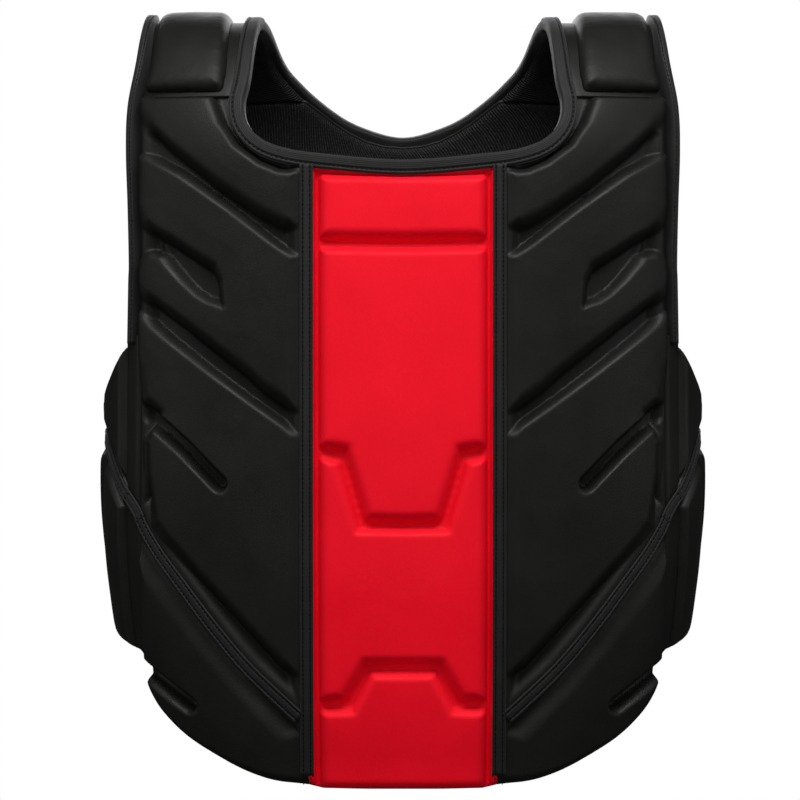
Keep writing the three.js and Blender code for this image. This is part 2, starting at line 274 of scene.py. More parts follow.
# ---- Meshes ----
def mesh_object(name, vertices, faces, uv=None, mirror=False, weld=0.0):
    """An object from points in millimetres. soft_ goes before a name that the frame has already."""
    name = f"soft_{name}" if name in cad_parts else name
    vertices = np.asarray(vertices, float).reshape(-1, 3) * MM
    if mirror:
        vertices = vertices * (-1, 1, 1)
    me = bpy.data.meshes.new(name)
    me.from_pydata(vertices.tolist(), [], [tuple(f) for f in faces])
    if uv is not None:
        layer = me.uv_layers.new(name="surface")
        loops = np.zeros(len(me.loops), int)
        me.loops.foreach_get("vertex_index", loops)
        layer.data.foreach_set("uv", (np.asarray(uv).reshape(-1, 2)[loops] * MM).ravel())
    bm = bmesh.new()
    bm.from_mesh(me)
    if weld:
        bmesh.ops.remove_doubles(bm, verts=bm.verts, dist=weld * MM)
        bmesh.ops.dissolve_degenerate(bm, edges=bm.edges, dist=weld * MM * 0.5)
    bmesh.ops.recalc_face_normals(bm, faces=bm.faces)
    bm.to_mesh(me)
    bm.free()
    me.shade_smooth()
    obj = bpy.data.objects.new(name, me)
    bpy.context.collection.objects.link(obj)
    return obj


def grid_faces(columns, rows, start=0, flip=False):
    """Quads over a grid whose first vertex is start."""
    i, j = np.meshgrid(np.arange(columns - 1), np.arange(rows - 1), indexing="ij")
    a = (start + i * rows + j).ravel()
    quads = np.stack([a, a + rows, a + rows + 1, a + 1], -1)
    return quads[:, ::-1] if flip else quads


def rim_faces(columns, rows, count):
    """Quads between the outlines of two grids, the second count vertices after the first."""
    index = np.arange(columns * rows).reshape(columns, rows)
    loop = np.concatenate([index[:, 0], index[-1, 1:], index[-2::-1, -1], index[0, -2:0:-1]])
    ahead = np.roll(loop, -1)
    return np.stack([loop, loop + count, ahead + count, ahead], -1)


def edge_distances(base):
    """How far each point of a grid is from its four sides: left, right, low and high."""
    def run(axis):
        step = np.linalg.norm(np.diff(base, axis=axis), axis=-1)
        pad = [(0, 0), (0, 0)]
        pad[axis] = (1, 0)
        return np.cumsum(np.pad(step, pad), axis=axis)
    u, v = run(0), run(1)
    return {"left": u, "right": u[-1:] - u, "low": v, "high": v[:, -1:] - v}


def padded_shell(name, place, lower, upper, relief, free=None, inner=INNER, mirror=False,
                 smooth=(True, True), middle=MIDDLE):
    """A closed padded panel between two edge lines. relief gives its outer depth from the place and
    the distances to its sides; a side in free is rounded over by that radius. inner is the depth of
    its back, or a function of the outer depth."""
    length = length_of(lower, place), length_of(upper, place)
    columns = int(max(length) / STEP) + 2
    u = np.linspace(0, 1, columns)
    low, high = spline(lower, u, smooth[0]), spline(upper, u, smooth[1])
    side = np.linalg.norm(place(*high.T) - place(*low.T), axis=-1).max()
    rows = int(side / STEP) + 2
    v = np.linspace(0, 1, rows)[None, :, None]
    grid = low[:, None, :] * (1 - v) + high[:, None, :] * v
    s, q = grid[..., 0], grid[..., 1]
    base = place(s, q)
    sides = edge_distances(base)
    depth = relief(s, q, sides)
    back_depth = inner(depth) if callable(inner) else np.full(s.shape, float(inner))
    for side_name, radius in (free or {}).items():
        share = np.clip(sides[side_name] / radius, 0, 1)
        turn = np.sqrt(np.maximum(0, 1 - (1 - share) ** 2))
        depth = middle + (depth - middle) * turn
        back_depth = middle + (back_depth - middle) * turn
    points = np.concatenate([on(place, s, q, depth).reshape(-1, 3),
                             on(place, s, q, back_depth).reshape(-1, 3)])
    count = columns * rows
    faces = np.concatenate([grid_faces(columns, rows), grid_faces(columns, rows, count, True),
                            rim_faces(columns, rows, count)])
    uv = np.stack([sides["left"], sides["low"]], -1).reshape(-1, 2)
    return mesh_object(name, points, faces, np.concatenate([uv, uv]), mirror, weld=0.02)


EDGE_ROLL = 1.1               # how far a tape's edges roll over
DENT, DENT_WIDTH = 1.0, 0.7
LIP, LIP_WIDTH = 0.45, 0.8


def tape_profile(width, low, high, rows=(), lips=()):
    """The closed outline of a folded tape's section as (across, depth): a flat face with rolled
    edges, a dent along each stitch row and a raised lip along each of lips."""
    half = width / 2
    across = np.linspace(half, -half, 29)
    depth = high - EDGE_ROLL * np.abs(across / half) ** 7
    for row in rows:
        depth = depth - DENT * np.exp(-((across - row) / DENT_WIDTH) ** 2)
    for lip in lips:
        depth = depth + LIP * np.exp(-((across - lip) / LIP_WIDTH) ** 2)
    under = np.linspace(-half, half, 9)
    below = low + EDGE_ROLL * np.abs(under / half) ** 7
    return np.concatenate([np.stack([across, depth], -1), np.stack([under, below], -1)])


def frames_along(place, line):
    """Points along a line on the surface, with unit vectors along it, to its left and outwards."""
    points = on(place, line[:, 0], line[:, 1], np.zeros(len(line)))
    outward = on(place, line[:, 0], line[:, 1], np.ones(len(line))) - points
    ahead = unit(np.gradient(points, axis=0))
    return points, ahead, unit(np.cross(outward, ahead)), outward


DROOP_REACH = 10              # the stretch over which a strip's start turns inwards


def band(name, place, path, profile, pitch, mirror=False, droop=0):
    """A strip of a constant section along a path on the body, its ends closed. droop is how far its
    start turns inwards."""
    length = length_of(path, place)
    line, _ = even(path, int(length / pitch) + 2, place)
    points, _, left, outward = frames_along(place, line)
    run = np.linspace(0, length, len(line))
    drop = droop * (1 - smooth_step(run / DROOP_REACH))
    depth = profile[None, :, 1] - drop[:, None]
    points = (points[:, None] + left[:, None] * profile[None, :, 0, None]
              + outward[:, None] * depth[..., None])
    count = len(profile)
    i, j = np.meshgrid(np.arange(len(line) - 1), np.arange(count), indexing="ij")
    a, b = (i * count + j).ravel(), (i * count + (j + 1) % count).ravel()
    faces = [tuple(f) for f in np.stack([a, b, b + count, a + count], -1)]
    ends = [tuple(range(count)), tuple(range((len(line) - 1) * count, len(line) * count))]
    uv = np.stack([run[:, None] + 0 * profile[None, :, 0], np.tile(profile[:, 0], (len(line), 1))], -1)
    return mesh_object(name, points, faces + ends, uv, mirror)


STITCH_PITCH, STITCH_LENGTH, THREAD_RADIUS = 3.6, 2.4, 0.42
THREAD_SIDES = 5
# Each ring's place along a stitch, its width and its lift, as shares of the length and the radius
STITCH_RINGS = [(-0.5, 0.35, -0.5), (-0.28, 1.0, 0.15), (0.28, 1.0, 0.15), (0.5, 0.35, -0.5)]


def stitches(name, place, path, offsets, depth, mirror=False):
    """Rows of thread stitches, at offsets to the left of a path. Each is a tube of rings."""
    count = max(int(length_of(path, place) / STITCH_PITCH), 2)
    line, _ = even(path, count * 2 + 1, place)
    centres, ahead, left, outward = frames_along(place, line)
    turns = np.linspace(0, 2 * math.pi, THREAD_SIDES + 1)[:-1]
    ring = np.array([(math.cos(a), math.sin(a)) for a in turns])
    last = len(STITCH_RINGS) - 1
    vertices, faces = [], []
    for offset in offsets:
        for k in range(1, len(line) - 1, 2):
            spot = centres[k] + left[k] * offset + outward[k] * depth
            start = len(vertices)
            for along, width, lift in STITCH_RINGS:
                centre = spot + ahead[k] * along * STITCH_LENGTH + outward[k] * lift * THREAD_RADIUS
                radius = THREAD_RADIUS * width
                vertices += [centre + radius * (left[k] * c + outward[k] * d) for c, d in ring]
            for r in range(last):
                for c in range(THREAD_SIDES):
                    a = start + r * THREAD_SIDES + c
                    b = start + r * THREAD_SIDES + (c + 1) % THREAD_SIDES
                    faces.append((a, b, b + THREAD_SIDES, a + THREAD_SIDES))
            for end in (0, last * THREAD_SIDES):
                faces.append(tuple(start + end + c for c in range(THREAD_SIDES)))
    return mesh_object(name, vertices, faces, mirror=mirror)


# ---- Materials ----
class Finish:
    """A node material under construction. A call adds a node and returns its output, apart from
    colour, roughness and normal, which join one to the shader."""

    def __init__(self, name, roughness, sheen, specular):
        self.material = bpy.data.materials.new(name)
        self.material.use_nodes = True
        self.nodes = self.material.node_tree.nodes
        self.links = self.material.node_tree.links
        self.shader = self.nodes["Principled BSDF"]
        self.shader.inputs["Roughness"].default_value = roughness
        self.shader.inputs["Specular IOR Level"].default_value = specular
        self.shader.inputs["Sheen Weight"].default_value = sheen
        self.shader.inputs["Sheen Roughness"].default_value = 0.5

    def add(self, kind, inputs=None, **settings):
        node = self.nodes.new(kind)
        for key, value in settings.items():
            setattr(node, key, value)
        for key, value in (inputs or {}).items():
            if isinstance(value, bpy.types.NodeSocket):
                self.links.new(value, node.inputs[key])
            else:
                node.inputs[key].default_value = value
        return node

    def place(self):
        return self.add("ShaderNodeTexCoord").outputs["Object"]

    def surface(self):
        return self.add("ShaderNodeUVMap", uv_map="surface").outputs["UV"]

    def noise(self, where, scale, detail, roughness=0.5):
        node = self.add("ShaderNodeTexNoise", {"Vector": where, "Scale": scale, "Detail": detail,
                                               "Roughness": roughness})
        return node.outputs["Fac"]

    def cells(self, where, scale):
        return self.add("ShaderNodeTexVoronoi", {"Vector": where, "Scale": scale}).outputs["Distance"]

    def wave(self, where, scale, direction, **inputs):
        node = self.add("ShaderNodeTexWave", {"Vector": where, "Scale": scale, **inputs},
                        wave_type="BANDS", bands_direction=direction)
        return node.outputs["Fac"]

    def math(self, operation, a, b, clamp=False):
        return self.add("ShaderNodeMath", {0: a, 1: b}, operation=operation, use_clamp=clamp).outputs[0]

    def ramp(self, value, low, high):
        node = self.add("ShaderNodeMapRange", {"Value": value, "To Min": low, "To Max": high})
        return node.outputs["Result"]

    def step(self, value, start, end):
        node = self.add("ShaderNodeMapRange", {"Value": value, "From Min": start, "From Max": end})
        return node.outputs["Result"]

    def mix(self, share, a, b):
        node = self.add("ShaderNodeMix", data_type="RGBA")
        self.links.new(share, node.inputs[0])
        for index, value in ((6, a), (7, b)):
            if isinstance(value, bpy.types.NodeSocket):
                self.links.new(value, node.inputs[index])
            else:
                node.inputs[index].default_value = (*value, 1)
        return node.outputs[2]

    def colour(self, value):
        self.links.new(value, self.shader.inputs["Base Color"])

    def roughness(self, value):
        self.links.new(value, self.shader.inputs["Roughness"])

    def bump(self, height, distance, strength, under=None):
        node = self.add("ShaderNodeBump", {"Height": height, "Distance": distance * MM,
                                           "Strength": strength})
        if under is not None:
            self.links.new(under, node.inputs["Normal"])
        return node.outputs["Normal"]

    def normal(self, value):
        self.links.new(value, self.shader.inputs["Normal"])
        return self.material


def pressed_skin(name, dark, light, roughness, grain, specular, weave=0.0):
    """Coated synthetic leather: pebbled grain, faint blotches, and rubbed places that shine more."""
    f = Finish(name, roughness, 0.0, specular)
    where = f.place()
    blotch = f.noise(where, 14, 4)
    fine = f.noise(where, 420, 2)
    shade = f.math("ADD", f.math("MULTIPLY", blotch, 0.7), f.math("MULTIPLY", fine, 0.3))
    f.colour(f.mix(f.step(shade, 0.3, 0.7), dark, light))
    rubbed = f.noise(where, 38, 5, 0.6)
    f.roughness(f.ramp(f.step(rubbed, 0.3, 0.7), roughness - 0.06, roughness + 0.08))
    pebbles = f.cells(where, 1000)
    wrinkle = f.noise(where, 260, 4, 0.6)
    relief = f.bump(pebbles, 0.10 * grain, 0.8)
    relief = f.bump(wrinkle, 0.16 * grain, 0.6, relief)
    if weave:
        relief = f.bump(f.wave(f.surface(), 320.0, "DIAGONAL"), weave, 0.7, relief)
    return f.normal(relief)


RIB_SCALE = 289.09            # the wave texture's scale for ribs 1.09 mm apart


def woven_tape(name, dark, light):
    """Narrow ribbed tape: threads across it, crossed by coarser ones along it."""
    f = Finish(name, 0.62, 0.06, 0.25)
    where = f.surface()
    ribs = f.wave(where, RIB_SCALE, "X")
    rows = f.wave(where, RIB_SCALE / 1.3, "Y")
    weave = f.math("MULTIPLY", ribs, rows)
    worn = f.noise(f.place(), 60, 4)
    f.colour(f.mix(f.math("MULTIPLY", weave, f.step(worn, 0.25, 0.75)), dark, light))
    f.roughness(f.ramp(worn, 0.5, 0.72))
    return f.normal(f.bump(worn, 0.2, 0.4, f.bump(weave, 0.16, 0.9)))


def spacer_mesh(name):
    """Knitted 3D mesh: ribs of black knit, tied across by finer ones, over dark eyelets; the ribs and
    ties carry a painted highlight that makes them lighter than the black knit.
    """
    f = Finish(name, 0.7, 0.0, 0.2)
    where = f.surface()
    ribs = f.wave(where, 125.0, "X", **{"Distortion": 0.7, "Detail": 1.0, "Detail Scale": 2.0})
    ties = f.wave(where, 190.0, "Y", Distortion=0.5)
    thin_ties = f.math("MULTIPLY", f.math("POWER", ties, 8.0), 0.45)
    knit_and_painted_highlight = f.math("ADD", f.math("POWER", ribs, 5.0), thin_ties)
    fuzz = f.noise(f.place(), 500, 3)
    # painted highlight: the ribs and ties take a lighter colour than the black mesh, standing in for the
    # glints of light along them
    shade = f.math("MULTIPLY", knit_and_painted_highlight, f.ramp(f.step(fuzz, 0.3, 0.7), 0.15, 1.0), True)
    f.colour(f.mix(shade, (0.0007, 0.0007, 0.0008), (0.06, 0.06, 0.062)))
    f.roughness(f.ramp(fuzz, 0.55, 0.85))
    return f.normal(f.bump(fuzz, 0.1, 0.5, f.bump(knit_and_painted_highlight, 0.7, 1.0)))


def elastic_webbing(name):
    """Wide elastic: rubber cores give lengthwise ribs, gathered by fine cross threads."""
    f = Finish(name, 0.75, 0.3, 0.3)
    where = f.surface()
    ribs = f.wave(where, 110.0, "Y", Distortion=0.4)
    threads = f.wave(where, 260.0, "X", Distortion=0.6)
    lint = f.noise(f.place(), 240, 4)
    f.colour(f.mix(f.math("MULTIPLY", ribs, lint), (0.006, 0.006, 0.0065), (0.028, 0.028, 0.03)))
    f.roughness(f.ramp(lint, 0.65, 0.9))
    return f.normal(f.bump(threads, 0.12, 0.7, f.bump(ribs, 0.35, 0.9)))


def napped(name, scale, height, dark, light):
    """Hook or loop tape: a dense field of tufts."""
    f = Finish(name, 0.85, 0.5, 0.25)
    where = f.place()
    tufts = f.cells(where, scale)
    lint = f.noise(where, 700, 4, 0.7)
    f.colour(f.mix(f.math("MULTIPLY", tufts, lint, True), dark, light))
    f.roughness(f.ramp(lint, 0.75, 0.98))
    return f.normal(f.bump(lint, height * 0.5, 0.8, f.bump(tufts, height, 1.0)))


def thread(name, dark, light):
    """Polyester sewing thread: two plies twisted together."""
    f = Finish(name, 0.55, 0.0, 0.12)
    ply = f.wave(f.place(), 700.0, "DIAGONAL")
    f.colour(f.mix(ply, dark, light))
    f.roughness(f.ramp(ply, 0.38, 0.55))
    return f.normal(f.bump(ply, 0.1, 0.8))


BLACK = pressed_skin("black_skin", (0.0052, 0.0052, 0.0046), (0.0082, 0.0082, 0.0074), 0.50, 1.0, 0.22)
RED = pressed_skin("red_skin", (0.67, 0.0015, 0.011), (0.76, 0.0035, 0.016), 0.62, 0.8, 0.14, 0.05)
TAPE_CLOTH = woven_tape("binding_tape", (0.0062, 0.0062, 0.0059), (0.0165, 0.0165, 0.0158))
MESH_CLOTH = spacer_mesh("spacer_mesh")
ELASTIC = elastic_webbing("elastic_webbing")
HOOK = napped("hook_tape", 900, 0.35, (0.004, 0.004, 0.004), (0.03, 0.03, 0.03))
LOOP = napped("loop_tape", 520, 0.25, (0.006, 0.006, 0.0065), (0.035, 0.035, 0.037))
THREAD = thread("black_thread", (0.0008, 0.0008, 0.0008), (0.003, 0.003, 0.003))


# ---- The stage and the camera ----
CAMERA_DISTANCE = 2200        # from the front of the chest
VIEW_WIDTH = 608              # width of the picture there
VIEW_CENTRE = (-2.3, 298)     # where the picture's centre falls on the front
FLOOR_RADIUS, FLOOR_LEVEL = 1.6, -0.45  # metres, like the lights' sizes and places
FILL = 0.048                  # light that the white studio itself throws on the object


def stage():
    """A round pale floor in a white studio, whose own light on the object is dim."""
    turns = np.linspace(0, 2 * math.pi, 97)[:-1]
    me = bpy.data.meshes.new("floor")
    rim = [(FLOOR_RADIUS * math.cos(a), FLOOR_RADIUS * math.sin(a), 0) for a in turns]
    me.from_pydata(rim, [], [tuple(range(len(rim)))])
    floor = bpy.data.objects.new("floor", me)
    floor.location.z = FLOOR_LEVEL
    bpy.context.collection.objects.link(floor)
    f = Finish("pale_floor", 0.9, 0.0, 0.1)
    dust = f.noise(f.place(), 3, 2)
    f.colour(f.mix(dust, (0.88, 0.88, 0.88), (0.92, 0.92, 0.92)))
    me.materials.append(f.normal(f.bump(dust, 0.1, 0.1)))
    floor.visible_diffuse = floor.visible_glossy = False    # it throws no light up into the grooves

    world = bpy.data.worlds.new("studio")
    world.use_nodes = True
    nodes, links = world.node_tree.nodes, world.node_tree.links
    seen = nodes.new("ShaderNodeLightPath").outputs["Is Camera Ray"]
    strength = nodes.new("ShaderNodeMapRange")
    strength.inputs["To Min"].default_value = FILL
    strength.inputs["To Max"].default_value = 1.0
    links.new(seen, strength.inputs["Value"])
    background = nodes["Background"]
    background.inputs["Color"].default_value = (1, 1, 1, 1)
    links.new(strength.outputs["Result"], background.inputs["Strength"])
    bpy.context.scene.world = world
    bpy.context.scene.view_settings.view_transform = "Standard"


def area_light(name, place, target, width, height, power, gloss=True):
    light = bpy.data.lights.new(name, "AREA")
    light.shape = "RECTANGLE"
    light.size, light.size_y = width, height
    light.energy = power
    obj = bpy.data.objects.new(name, light)
    obj.location = place
    obj.visible_glossy = gloss
    aim = np.array(target) - np.array(place)
    obj.rotation_euler = Vector(aim.tolist()).to_track_quat("-Z", "Y").to_euler()
    bpy.context.collection.objects.link(obj)


def camera():
    data = bpy.data.cameras.new("camera")
    data.sensor_width = 36
    data.lens = 36 * CAMERA_DISTANCE / VIEW_WIDTH
    obj = bpy.data.objects.new("camera", data)
    front_of_chest = HALF_DEPTHS[-1][1]
    obj.location = (VIEW_CENTRE[0] * MM, -(front_of_chest + CAMERA_DISTANCE) * MM, VIEW_CENTRE[1] * MM)
    obj.rotation_euler = (math.pi / 2, 0, 0)
    data.clip_end = 50
    bpy.context.collection.objects.link(obj)
    bpy.context.scene.camera = obj


camera()
stage()
CHEST = (0.0, -0.1, 0.3)
area_light("top_softbox", (0.0, -1.12, 1.8), CHEST, 1.8, 0.7, 46)
area_light("low_softbox", (0.0, -1.7, 0.0), (0.0, -0.1, 0.0), 1.0, 0.4, 8, gloss=False)
area_light("left_softbox", (-2.1, -1.0, 0.9), CHEST, 0.6, 1.4, 7)
area_light("right_softbox", (2.1, -1.0, 0.9), CHEST, 0.6, 1.4, 7)
area_light("back_softbox", (0.0, 1.9, 1.3), (0, 0.1, 0.35), 1.8, 1.0, 26)


# ---- Making pieces ----
SIDES = (("left", False), ("right", True))  # the wearer's left is +X; the right is its mirror


def finish_piece(obj, material, body, replaces=()):
    obj.data.materials.append(material)
    if body is not None:
        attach(obj, body)
    if replaces:
        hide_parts(*replaces)
    return obj


def level(depth):
    """Relief of a cover without blocks."""
    return lambda s, q, sides: np.full(s.shape, float(depth))


def edge_pillow(margins, shoulder, crown, floor=GROOVE):
    """Relief of one block that fills its panel, set in from each named side by a margin."""
    def relief(s, q, sides):
        distance = np.min([sides[name] - margin for name, margin in margins.items()], axis=0)
        rise, swell = pillow(distance, shoulder, crown)
        return floor + rise * (swell - floor)
    return relief


ALL_SIDES = ("left", "right", "low", "high")
PRESSURE, VOXEL, FRAMES = 4.0, 3.5, 20  # of the cloth simulation that swells a stuffed piece


def inflated(obj, cap):
    """Swells a stuffed piece as cloth under pressure, its back held; no point moves beyond the cap."""
    scene = bpy.context.scene
    remesh = obj.modifiers.new("remesh", "REMESH")
    remesh.mode, remesh.voxel_size = "VOXEL", VOXEL * MM
    take_shape(obj)
    rest = points_of(obj.data)
    normals = np.zeros(len(rest) * 3)
    obj.data.vertices.foreach_get("normal", normals)
    outward = (normals.reshape(-1, 3) * (rest - rest.mean(0))).sum(1)
    held = obj.vertex_groups.new(name="held")
    held.add(np.flatnonzero(outward < 0).tolist(), 1.0, "REPLACE")
    cloth = obj.modifiers.new("cloth", "CLOTH")
    cloth.settings.use_pressure = True
    cloth.settings.uniform_pressure_force = PRESSURE
    cloth.settings.effector_weights.gravity = 0
    cloth.settings.vertex_group_mass = held.name
    cloth.point_cache.frame_start, cloth.point_cache.frame_end = 1, FRAMES
    for frame_number in range(1, FRAMES + 1):
        scene.frame_set(frame_number)
    take_shape(obj)
    scene.frame_set(1)
    moved = points_of(obj.data) - rest
    far = np.linalg.norm(moved, axis=1, keepdims=True)
    moved *= np.minimum(1, cap * MM / np.maximum(far, 1e-9))
    obj.data.vertices.foreach_set("co", (rest + moved).ravel())
    relax = obj.modifiers.new("relax", "SMOOTH")
    relax.factor, relax.iterations = 0.5, 4
    obj.modifiers.new("finer", "SUBSURF").levels = 1
    take_shape(obj)
    obj.data.shade_smooth()


def take_shape(obj):
    """Applies an object's modifiers to its mesh."""
    shape = obj.evaluated_get(bpy.context.evaluated_depsgraph_get())
    obj.data = bpy.data.meshes.new_from_object(shape)
    obj.modifiers.clear()


def points_of(me):
    flat = np.zeros(len(me.vertices) * 3)
    me.vertices.foreach_get("co", flat)
    return flat.reshape(-1, 3)


def thin(name, place, lower, upper, low, high, material, body, slot, replaces=(), mirror=False,
         smooth=(True, True), free=ALL_SIDES, ripple=0.0):
    """A flat strap, patch or sheet of even thickness with rolled edges."""
    middle, radius = (low + high) / 2, (high - low) * 0.7

    def relief(s, q, sides):
        wave = np.sin(sides["left"] / 9.0) * np.cos(sides["low"] / 13.0 + 1.0)
        return high + ripple * wave
    obj = padded_shell(name, place, lower, upper, relief, {k: radius for k in free}, low, mirror,
                       smooth, middle=middle)
    return finish_piece(obj, material, body, replaces)


LINING_GAP, LINING_THICKNESS, LINING_LIFT = 0.4, 2.2, 6.5


def lining(name, place, lower, upper, body, replaces=(), mirror=False, smooth=(True, True)):
    """A sheet of mesh behind the padding, whose edges come up to meet the cover."""
    def relief(s, q, sides):
        edge = np.clip(np.min([sides[k] for k in ALL_SIDES], axis=0) / HEM_ROUND, 0, 1)
        return INNER - LINING_GAP + LINING_LIFT * (1 - np.sqrt(1 - (1 - edge) ** 2))

    def back_face(depth):
        return depth - LINING_THICKNESS
    obj = padded_shell(name, place, lower, upper, relief, None, back_face, mirror, smooth)
    finish_piece(obj, MESH_CLOTH, body, replaces)
    width = max(length_of(lower, place), length_of(upper, place))
    return obj


def sewn(name, place, path, offsets, depth, body, mirror=False):
    obj = stitches(name, place, path, offsets, depth, mirror)
    return finish_piece(obj, THREAD, body)


# ---- Centre panel ----
CENTRE_EDGE = SEAM - 1
CENTRE_GROOVE = -9.0          # the red panel's grooves are shallower than the others
CENTRE_CREASE = 66.2          # x of the crease between its blocks and its seam
CENTRE_BLOCKS = [
    [(0, 469), (65, 470), (65, 420), (0, 419)],
    [(0, 414), (65, 415), (65, 261), (45, 258), (29, 205), (0, 204)],
    [(0, 199.5), (32.5, 200), (48, 252), (65, 255.5), (65, 65), (44, 66), (28, 94), (0, 94)],
    [(0, 89), (25, 89), (40, 60.5), (65, 59.5), (64, -16), (0, -16)],
]


def whole(half):
    """A block's whole outline from its half at positive x."""
    return half + [(-x, z) for x, z in half[::-1] if x]


def centre_relief(s, q, sides):
    blocks = [(whole(half), 4.0) for half in CENTRE_BLOCKS]
    floor = np.maximum(seam_floor(SEAM - np.abs(s), 4.0, 4.0), CENTRE_GROOVE)
    depth = block_relief(blocks, s, q, 10, 1.3, floor, top_shoulder=6)
    crease = groove([(CENTRE_CREASE, 475), (CENTRE_CREASE, -5)], 2.0, np.abs(s), q)
    return depth - 1.2 * crease


centre = padded_shell(
    "centre_panel", sheet,
    symmetric([(0, -3), (30, -3), (62, -2.5), (CENTRE_EDGE, 0)]),
    symmetric([(0, 474), (30, 474.5), (62, 476), (CENTRE_EDGE, 477)]),
    centre_relief, {"low": HEM_ROUND, "high": 8}, smooth=(False, False))
finish_piece(centre, RED, "front",
             ["centre_cover"] + [f"centre_pad_{i}" for i in range(1, 5)])

# ---- Chest and belly panels, and the seam between them ----
DIAGONAL = [(SEAM, 49), (119, 90), (146, 121), (171, 153), (191, 179), (203, 198), (FRONT_EDGE, 211)]
CHEST_TOP_EDGE = front([(SEAM, 477), (97, 481), (119, 493), (132, 510), (135, 538), (209, 538)])
CHEST_BLOCKS = [
    ([(79, 474), (95, 475.5), (110, 482), (127, 495), (138, 512), (146, 535), (211, 536),
      (209, 522), (199, 505), (184, 490.5), (146, 460), (110, 436), (92, 427), (79, 429)], 5),
    ([(79, 408), (98, 420.5), (134, 448), (171, 474), (199, 489.5), (210, 490), (211, 447),
      (205, 432), (196, 424), (182, 416.5), (164, 405), (149, 396), (145, 387), (144, 375),
      (150, 377), (158, 382), (169, 392), (185, 410), (198, 415), (207, 408), (213, 396),
      (212, 386), (207, 377), (171, 352), (122, 315), (110, 304), (90, 290), (79, 287)], 4),
    ([(79, 271), (88, 280), (114, 298), (146, 321), (184, 349.5), (206, 368), (216, 372),
      (216, 337), (208, 318), (205, 295), (194, 286), (204, 266), (203, 240), (200, 219),
      (197, 200), (188, 188), (127, 124), (95, 90), (79, 84)], 4.5),
]
UPPER_SLOT = [(204, 419), (190, 415), (172, 402), (156, 390), (149, 382)]
LOWER_SLOT = [(207, 292), (192, 281), (168, 261), (141, 234)]


def chest_relief(s, q, sides):
    blocks = [(front(outline), radius) for outline, radius in CHEST_BLOCKS]
    seam = np.minimum(s - SEAM, line_distance(DIAGONAL, s, q))
    floor = np.maximum(seam_floor(seam), seam_floor(sides["right"], 9, 9))
    depth = block_relief(blocks, s, q, 12, 1.9, floor, top_shoulder=6)
    slot = trench(front(LOWER_SLOT), s, q) * smooth_step((sides["right"] - 5) / 10)
    depth = depth * (1 - slot) + GROOVE * slot
    ridge = groove(front([(190, 423), (186, 409)]), 5, s, q)
    recess = groove(front(UPPER_SLOT), 14, s, q)
    return depth + 2.2 * ridge * recess


BELLY_LOWER = [(SEAM, 0), (101, 3), (124, 10), (147, 21), (168, 33), (185, 47.5), (198, 64), (203.5, 82)]
BELLY_BLOCK = ([(80, 40), (84, 44.5), (119, 81), (146, 111.5), (171, 143.5), (192, 170), (205, 188),
                (216, 192), (214, 80), (200, 44), (160, 10), (120, -8), (79, -12)], 5)
HEM_SLOT = [(212, 93), (194, 81), (166, 62)]


def belly_relief(s, q, sides):
    seam = np.minimum(s - SEAM, line_distance(DIAGONAL, s, q))
    depth = block_relief([BELLY_BLOCK], s, q, 16, 2.0, seam_floor(seam))
    slot = trench(HEM_SLOT, s, q)
    return depth * (1 - slot) + GROOVE * slot


for side, mirror in SIDES:
    chest = padded_shell(f"chest_panel_{side}", sheet, shifted(DIAGONAL, 0, 0.4), CHEST_TOP_EDGE,
                         chest_relief, {"right": 7, "high": 8}, mirror=mirror)
    finish_piece(chest, BLACK, "front",
                 [f"{n}_{side}" for n in ("chest_cover", "chest_pad", "rib_pad", "flank_pad")])
    belly = padded_shell(f"belly_panel_{side}", sheet, BELLY_LOWER,
                         spline(shifted(DIAGONAL, 0, -0.4), np.linspace(0, 1, 8)).tolist(),
                         belly_relief, {"low": HEM_ROUND, "right": 7}, mirror=mirror)
    finish_piece(belly, BLACK, "front",
                 [f"belly_cover_{side}", f"belly_pad_{side}"])

FRONT_LOWER = symmetric([(0, -3.2), (30, -3.2), (62, -2.7), (SEAM, -0.2), *BELLY_LOWER[1:]])
FRONT_UPPER = symmetric([(0, 478), (40, 479), *CHEST_TOP_EDGE])
lining("front_lining", sheet, FRONT_LOWER, FRONT_UPPER, "front", ["front_lining"],
       smooth=(False, False))

# ---- Seam tapes ----
TAPE_ROWS = (-2.8, 2.8)
TAPE_LOW, TAPE_HIGH = SEAM_LEVEL - 0.4, SEAM_LEVEL + 1.7
TAPE_PROFILE = tape_profile(2 * TAPE_HALF, TAPE_LOW, TAPE_HIGH, TAPE_ROWS, (-4.5, 4.5))
TAPE_STITCH = TAPE_HIGH - 0.6
CENTRE_SEAM = [(SEAM, 0.6), (SEAM, 120), (SEAM, 240), (SEAM, 360), (SEAM, 478)]
DIAGONAL_SEAM = [(80, 53.5), *DIAGONAL[1:6], (FRONT_EDGE - 1, 209)]
for side, mirror in SIDES:
    for name, path in (("centre_tape", CENTRE_SEAM), ("diagonal_tape", DIAGONAL_SEAM)):
        droop = 8 if path is CENTRE_SEAM else 0
        tape = band(f"{name}_{side}", sheet, path, TAPE_PROFILE, 2.0, mirror, droop)
        finish_piece(tape, TAPE_CLOTH, "front", [f"{name}_{side}"])
        sewn(f"{name}_stitches_{side}", sheet, path, TAPE_ROWS, TAPE_STITCH, "front", mirror)

# ---- Neck and armhole bindings ----
NECK_FRONT = symmetric([*front([(0, 481), (62, 486), (92, 491), (110, 499), (121, 512), (124, 530),
                                (119, 560)]), (112, SHOULDER_LINE)])
NECK_BACK = symmetric([*back([(0, 523), (30, 530), (56, 543), (84, 566), (101, 588)]),
                       (112, SHOULDER_LINE)])
ARMHOLE = [*front([(217, 342), (216, 390), (215.5, 405), (216.5, 449), (218, 493), (217, 528),
                   (210, 571)]), (204.5, SHOULDER_LINE), *back([(208, 571), (213, 530), (211, 510)])]


